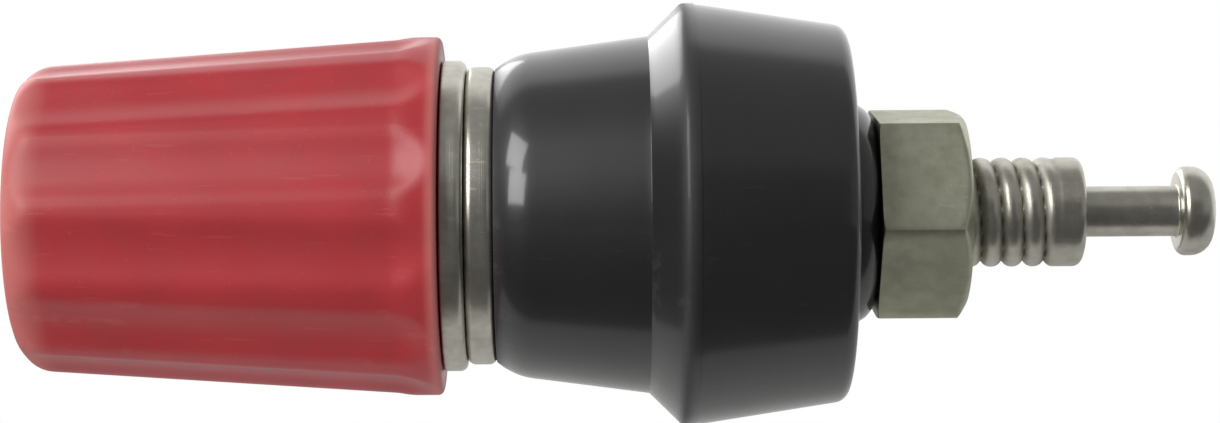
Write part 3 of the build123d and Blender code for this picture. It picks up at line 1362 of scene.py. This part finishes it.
@dataclass
class FrontInsulator:
    """The black cone that flares into the panel flange, with the keyed spigot behind it."""

    span: Span = Span.of("front_insulator")
    finish: MouldedPlastic = BLACK_POST_PLASTIC
    bore_radius: float = 2.1
    pocket_radius: float = 3.51
    pocket_flats: float = 6.22
    pocket_end: float = -2.59
    seat_radius: float = 5.226
    seat_round: float = 0.04
    seat_rub: float = 0.5
    shoulder_length: float = 0.638
    shoulder_radius: float = 5.724
    shoulder_round: float = 2.4
    cone_end: float = -1.65
    cone_end_radius: float = 6.36
    corner_round: float = 0.03
    bevel_end: float = -0.46
    flange_radius: float = 7.53
    flange_round: float = 0.3
    # The flange corner's lighter rubbed band is handling wear and a painted highlight.
    flange_rub_and_sheen: float = 0.4
    flange_edge_round: float = 0.01
    spigot_radius: float = 4.0
    spigot_chamfer: float = 0.3
    key_distance: float = 3.5
    segments: int = 288
    edge_step: float = 0.2
    cone_step: float = 0.25
    flange_step: float = 0.5
    face_step: float = 0.4

    def profile(self) -> Profile:
        """The half-section, from the seat of the collar over the cone and the flange to the spigot.

        Returns:
            The half-section.
        """
        seat, end = self.span.front, self.span.back
        shoulder, flange = seat + self.shoulder_length, self.flange_radius
        chamfer = self.spigot_chamfer
        return Profile(
            (
                Corner(seat, self.pocket_radius),
                Corner(seat, self.seat_radius, self.seat_round, self.edge_step, self.seat_rub),
                Corner(shoulder, self.shoulder_radius, self.shoulder_round, self.cone_step),
                Corner(self.cone_end, self.cone_end_radius, self.corner_round, self.cone_step),
                Corner(self.bevel_end, flange, self.flange_round, self.edge_step, self.flange_rub_and_sheen),
                Corner(0.0, flange, self.flange_edge_round, self.flange_step),
                Corner(0.0, self.spigot_radius, step=self.face_step),
                Corner(end - chamfer, self.spigot_radius),
                Corner(end, self.spigot_radius - chamfer),
                Corner(end, self.bore_radius),
                Corner(self.pocket_end, self.bore_radius),
                Corner(self.pocket_end, self.pocket_radius),
            )
        )

    def build(self) -> Object:
        """Turns the moulding, flattens the pocket for the stem's shank and cuts the spigot's key.

        Returns:
            The moulding.
        """
        piece = lathe("front_moulding", self.profile(), even_angles(self.segments))
        finish = self.finish.material()
        pocket, spigot = (self.span.front, self.pocket_end), (0.0, self.span.back)
        mill(piece, finish, 2, self.pocket_flats / 2, self.pocket_radius, pocket)
        mill(piece, finish, 1, self.key_distance, self.spigot_radius, spigot, KEY_ANGLE)
        return settle(piece, Body.POST, Slot.BLACK_PLASTIC, "front_insulator")


@dataclass
class RearInsulator:
    """The black tapered cup behind the panel, with a low rounded boss under the nut."""

    span: Span = Span.of("rear_insulator")
    finish: MouldedPlastic = BLACK_POST_PLASTIC
    bore_radius: float = 2.1
    front_radius: float = 7.5
    front_round: float = 0.01
    back: float = 5.4
    back_radius: float = 6.68
    back_round: float = 0.5
    boss_radius: float = 3.95
    boss_round: float = 0.95
    recess_radius: float = 4.08
    recess_depth: float = 3.6
    key_distance: float = 3.58
    segments: int = 288
    side_step: float = 0.4
    face_step: float = 0.5

    def profile(self) -> Profile:
        """The half-section, from the recess over the tapered side to the boss.

        Returns:
            The half-section.
        """
        return Profile(
            (
                Corner(0.0, self.recess_radius, step=self.face_step),
                Corner(0.0, self.front_radius, self.front_round, self.side_step),
                Corner(self.back, self.back_radius, self.back_round, self.face_step),
                Corner(self.back, self.boss_radius),
                Corner(self.span.back, self.boss_radius, self.boss_round),
                Corner(self.span.back, self.bore_radius),
                Corner(self.recess_depth, self.bore_radius),
                Corner(self.recess_depth, self.recess_radius),
            )
        )

    def build(self) -> Object:
        """Turns the moulding and keys its recess to the spigot.

        Returns:
            The moulding.
        """
        piece = lathe("rear_moulding", self.profile(), even_angles(self.segments))
        finish, recess = self.finish.material(), (0.0, self.recess_depth)
        mill(piece, finish, 1, self.key_distance, self.recess_radius, recess, KEY_ANGLE)
        return settle(piece, Body.REAR, Slot.BLACK_PLASTIC, "rear_insulator")


@dataclass
class PanelNut:
    """The hexagon nut, chamfered on its free face and barely on its seat."""

    span: Span = Span.of("hex_nut")
    finish: NickelPlate = NUT_PLATE
    across_flats: float = 7.0
    first_corner: float = math.radians(8.5)
    seat_radius: float = 3.97
    face_radius: float = 3.35
    chamfer_angle: float = math.radians(30)
    bore_radius: float = 2.0
    bore_chamfer: float = 0.25
    seat_edge_round: float = 0.04
    seat_round: float = 0.1
    face_edge_round: float = 0.08
    corner_softness: float = 0.26
    sides: int = 6
    segments: int = 288
    chamfer_step: float = 0.06
    side_step: float = 0.12
    face_step: float = 0.3

    def profile(self) -> Profile:
        """The half-section of the blank, before its flats are cut.

        Returns:
            The half-section.
        """
        front, back = self.span.front, self.span.back
        corner_radius = self.across_flats / math.sqrt(3)
        slope = math.tan(self.chamfer_angle)
        seat_depth, face_depth = ((corner_radius - r) * slope for r in (self.seat_radius, self.face_radius))
        bore, sink = self.bore_radius, self.bore_chamfer
        return Profile(
            (
                Corner(front, bore + sink),
                Corner(front, self.seat_radius, self.seat_edge_round, self.chamfer_step),
                Corner(front + seat_depth, corner_radius, self.seat_round, self.side_step),
                Corner(back - face_depth, corner_radius, step=self.chamfer_step),
                Corner(back, self.face_radius, self.face_edge_round, self.face_step),
                Corner(back, bore + sink),
                Corner(back - sink, bore),
                Corner(front + sink, bore),
            )
        )

    def build(self) -> Object:
        """Turns the nut and mills its six flats.

        Returns:
            The nut.
        """
        angles = bunched_angles(self.segments, self.sides, self.first_corner)
        piece = lathe("panel_nut", self.profile(), angles)
        mill(
            piece,
            self.finish.material(),
            self.sides,
            self.across_flats / 2,
            self.across_flats,
            (self.span.front, self.span.back),
            self.first_corner + math.pi / self.sides,
            self.corner_softness,
        )
        return settle(piece, Body.NUT, Slot.NUT_NICKEL, "hex_nut")


@dataclass
class Window:
    """One pane of the tall window that lights the post: a soft rectangular lamp."""

    name: str
    towards: Vector
    width: float
    height: float
    brightness: float
    distance: float = 350.0

    def hang(self) -> None:
        """Makes the lamp and turns it to the post."""
        data = bpy.data.lights.new(self.name, "AREA")
        data.shape = "RECTANGLE"
        data.size, data.size_y = self.width * MM, self.height * MM
        data.energy = self.brightness * math.pi * data.size * data.size_y
        lamp = bpy.data.objects.new(self.name, data)
        lamp.location = self.towards.normalized() * self.distance * MM
        lamp.rotation_euler = self.towards.to_track_quat("Z", "Y").to_euler()
        lamp.visible_camera = False
        bpy.context.scene.collection.objects.link(lamp)


@dataclass
class Studio:
    """The world, lamps, floor and camera round the post."""

    image_width: int = 1220
    pixels_per_mm: float = 28.0
    camera_distance: float = 107.1
    sensor: float = 36.0
    nearest: float = 1.0
    farthest: float = 5000.0
    stand_station: float = -4.2
    centre_station: float = -3.0
    axis_below_centre: float = 0.121
    roll: float = math.radians(-0.4)
    floor_height: float = -34.0
    floor_radius: float = 320.0
    paper: float = 1.0
    room_high: float = 0.29
    room_low: float = 0.115
    ceiling: float = 0.3
    right_side: float = 0.3
    # Where the floor's painted dark reflection starts, in front of the post and to its left, and how softly.
    dark_reflection_edge: float = -10.0
    dark_reflection_left: float = -50.0
    dark_reflection_blur: float = 2.5
    paper_rise: tuple[float, float] = (0.14, 0.38)
    room_rise: tuple[float, float] = (0.28, 0.56)
    ceiling_rise: tuple[float, float] = (0.8, 0.96)
    right_rise: tuple[float, float] = (0.35, 0.75)

    def light_world(self) -> None:
        """White behind the post, as paper, a dimmer room in front of it, and plain white to the camera."""
        world = bpy.data.worlds.new("paper_and_room")
        world.use_nodes = True
        world.node_tree.nodes.clear()
        graph = Graph(world.node_tree)
        towards = graph.node("ShaderNodeTexCoord").outputs["Generated"]
        x, y, z = graph.node("ShaderNodeSeparateXYZ", {0: towards}).outputs
        behind = graph.ramp(y, *self.paper_rise, soft=True)
        room = graph.ramp(z, *self.room_rise, self.room_low, self.room_high, soft=True)
        room = graph.ramp(z, *self.ceiling_rise, room, self.ceiling, soft=True)
        right = graph.math("MAXIMUM", room, self.right_side)
        room = graph.ramp(x, *self.right_rise, room, right, soft=True)
        level = graph.math("MULTIPLY_ADD", behind, graph.math("SUBTRACT", self.paper, room), room)
        seen = graph.node("ShaderNodeLightPath").outputs["Is Camera Ray"]
        level = graph.math("MAXIMUM", level, seen)
        shade = graph.node("ShaderNodeBackground", {"Color": (1.0, 1.0, 1.0, 1.0), "Strength": level})
        graph.node("ShaderNodeOutputWorld", {"Surface": shade.outputs[0]})
        bpy.context.scene.world = world

    def hang_lamps(self) -> None:
        """Hangs the two panes of the window in front on the left, and the skylight behind it."""
        pane = {"width": 170.0, "height": 130.0, "brightness": 6.0}
        Window("upper_pane", Vector((-0.58, -0.50, 0.62)), **pane).hang()
        Window("lower_pane", Vector((-0.62, -0.72, 0.30)), **pane).hang()
        Window("skylight", Vector((-0.56, 0.70, 0.44)), width=290.0, height=170.0, brightness=2.4).hang()

    def lay_floor(self) -> None:
        """Lays a plain pale disc well under the post, which throws less light back than it shows."""
        mesh = bmesh.new()
        bmesh.ops.create_circle(mesh, cap_ends=True, segments=96, radius=self.floor_radius * MM)
        bmesh.ops.translate(mesh, verts=mesh.verts, vec=(0.0, 0.0, self.floor_height * MM))
        data = bpy.data.meshes.new("floor")
        mesh.to_mesh(data)
        mesh.free()
        floor = bpy.data.objects.new("floor", data)
        bpy.context.scene.collection.objects.link(floor)
        data.materials.append(self.floor_finish())

    def floor_finish(self) -> Material:
        """A matt pale paint with a faint mottle. It throws light back as a grey sheet, and glossy rays see a
        painted dark reflection on it in front of the post and to its left.

        Returns:
            The material.
        """
        coat = Coat("pale_floor")
        graph = coat.graph
        rays = graph.node("ShaderNodeLightPath").outputs
        mottle = coat.effect(clouding(), size=40.0, detail=2.0, contrast=0.5)
        pale = graph.blend(mottle, paint(248, 248, 247), paint(244, 244, 243))
        x, y, _ = graph.node("ShaderNodeSeparateXYZ", {0: coat.place}).outputs
        blur = self.dark_reflection_blur
        painted_dark_zone = [
            graph.ramp(reach, edge - blur, edge + blur, 1.0, 0.0, soft=True)
            for reach, edge in ((y, self.dark_reflection_edge), (x, self.dark_reflection_left))
        ]
        # A painted reflection: glossy rays see the floor dark outside those edges.
        painted_dark_reflection = graph.math("MULTIPLY", graph.math("MAXIMUM", *painted_dark_zone), rays["Is Glossy Ray"])
        bounce_and_painted_reflection = graph.blend(painted_dark_reflection, paint(196, 196, 195), paint(86, 86, 86))
        return coat.set(base_color=graph.blend(rays["Is Camera Ray"], bounce_and_painted_reflection, pale), roughness=0.9)

    def stand_camera(self) -> None:
        """Stands the camera where the photograph was taken, all but square to the post's axis."""
        data = bpy.data.cameras.new("camera")
        data.sensor_width = self.sensor
        data.lens = self.sensor * self.camera_distance * self.pixels_per_mm / self.image_width
        data.clip_start, data.clip_end = self.nearest * MM, self.farthest * MM
        camera = bpy.data.objects.new("camera", data)
        camera.location = Vector((self.stand_station, -self.camera_distance, self.axis_below_centre)) * MM
        yaw = math.atan2(self.stand_station - self.centre_station, self.camera_distance)
        level = Euler((math.pi / 2, 0.0, yaw)).to_matrix()
        camera.rotation_euler = (level @ Euler((0.0, 0.0, self.roll)).to_matrix()).to_euler()
        bpy.context.scene.collection.objects.link(camera)
        bpy.context.scene.camera = camera

    def set_up(self) -> None:
        """Makes the whole studio."""
        self.light_world()
        self.hang_lamps()
        self.lay_floor()
        self.stand_camera()
        bpy.context.scene.view_settings.view_transform = "Standard"


def main() -> None:
    """Builds the post piece by piece, then the studio."""
    logging.basicConfig(level=logging.INFO, format="%(name)s: %(message)s")
    cap = RedCap()
    cap.build()
    cap.dress()
    for part in (ClampRing(), Stem(), FrontInsulator(), RearInsulator(), PanelNut()):
        part.build()
    Studio().set_up()


if __name__ == "__main__":
    main()
